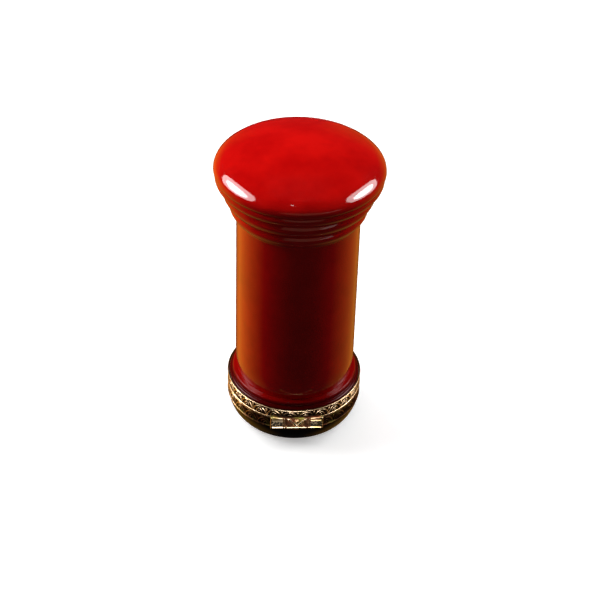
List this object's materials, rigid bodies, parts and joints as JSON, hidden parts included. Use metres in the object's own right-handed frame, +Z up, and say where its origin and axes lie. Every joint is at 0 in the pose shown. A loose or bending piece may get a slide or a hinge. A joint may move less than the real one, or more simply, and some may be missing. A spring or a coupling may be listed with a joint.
{
  "type": "hinged pillar mailbox trinket box",
  "caption": "Small glazed porcelain keepsake box shaped as a red pillar mailbox: the domed pillar is a hinged lid over a shallow black dish, with engraved brass rims and a clasp.",
  "frame": {"origin": "middle of the foot, on the surface the box stands on", "axes": "+Z up the pillar, the clasp at the front on -Y, the hinge at the back on +Y, +X to the right seen from the front"},
  "size_m": [0.0398, 0.0398, 0.0765],
  "materials": {
    "red_glaze": "gloss",
    "black_glaze": "gloss",
    "plaster": "matte",
    "engraved_brass": "satin",
    "plain_brass": "polished"
  },
  "bodies": {
    "base": {"base_dish": "black_glaze", "base_bedding": "plaster", "base_rim": "engraved_brass", "base_collar": "plain_brass", "base_hinge_leaf": "plain_brass", "base_knuckle_left": "plain_brass", "base_knuckle_right": "plain_brass", "hinge_pin": "plain_brass", "catch_stud": "plain_brass"},
    "lid": {"pillar_shell": "red_glaze", "lid_bedding": "plaster", "lid_rim": "engraved_brass", "lid_hinge_leaf": "plain_brass", "lid_knuckle": "plain_brass", "clasp_tab": "plain_brass", "clasp_plate": "plain_brass", "clasp_seal": "plain_brass"}
  },
  "joints": [
    {"name": "lid_hinge", "type": "hinge", "parent": "base", "child": "lid", "pos_m": [0, 0.0176, 0.0079], "axis": [-1, 0, 0], "range_deg": [0, 90]}
  ]
}
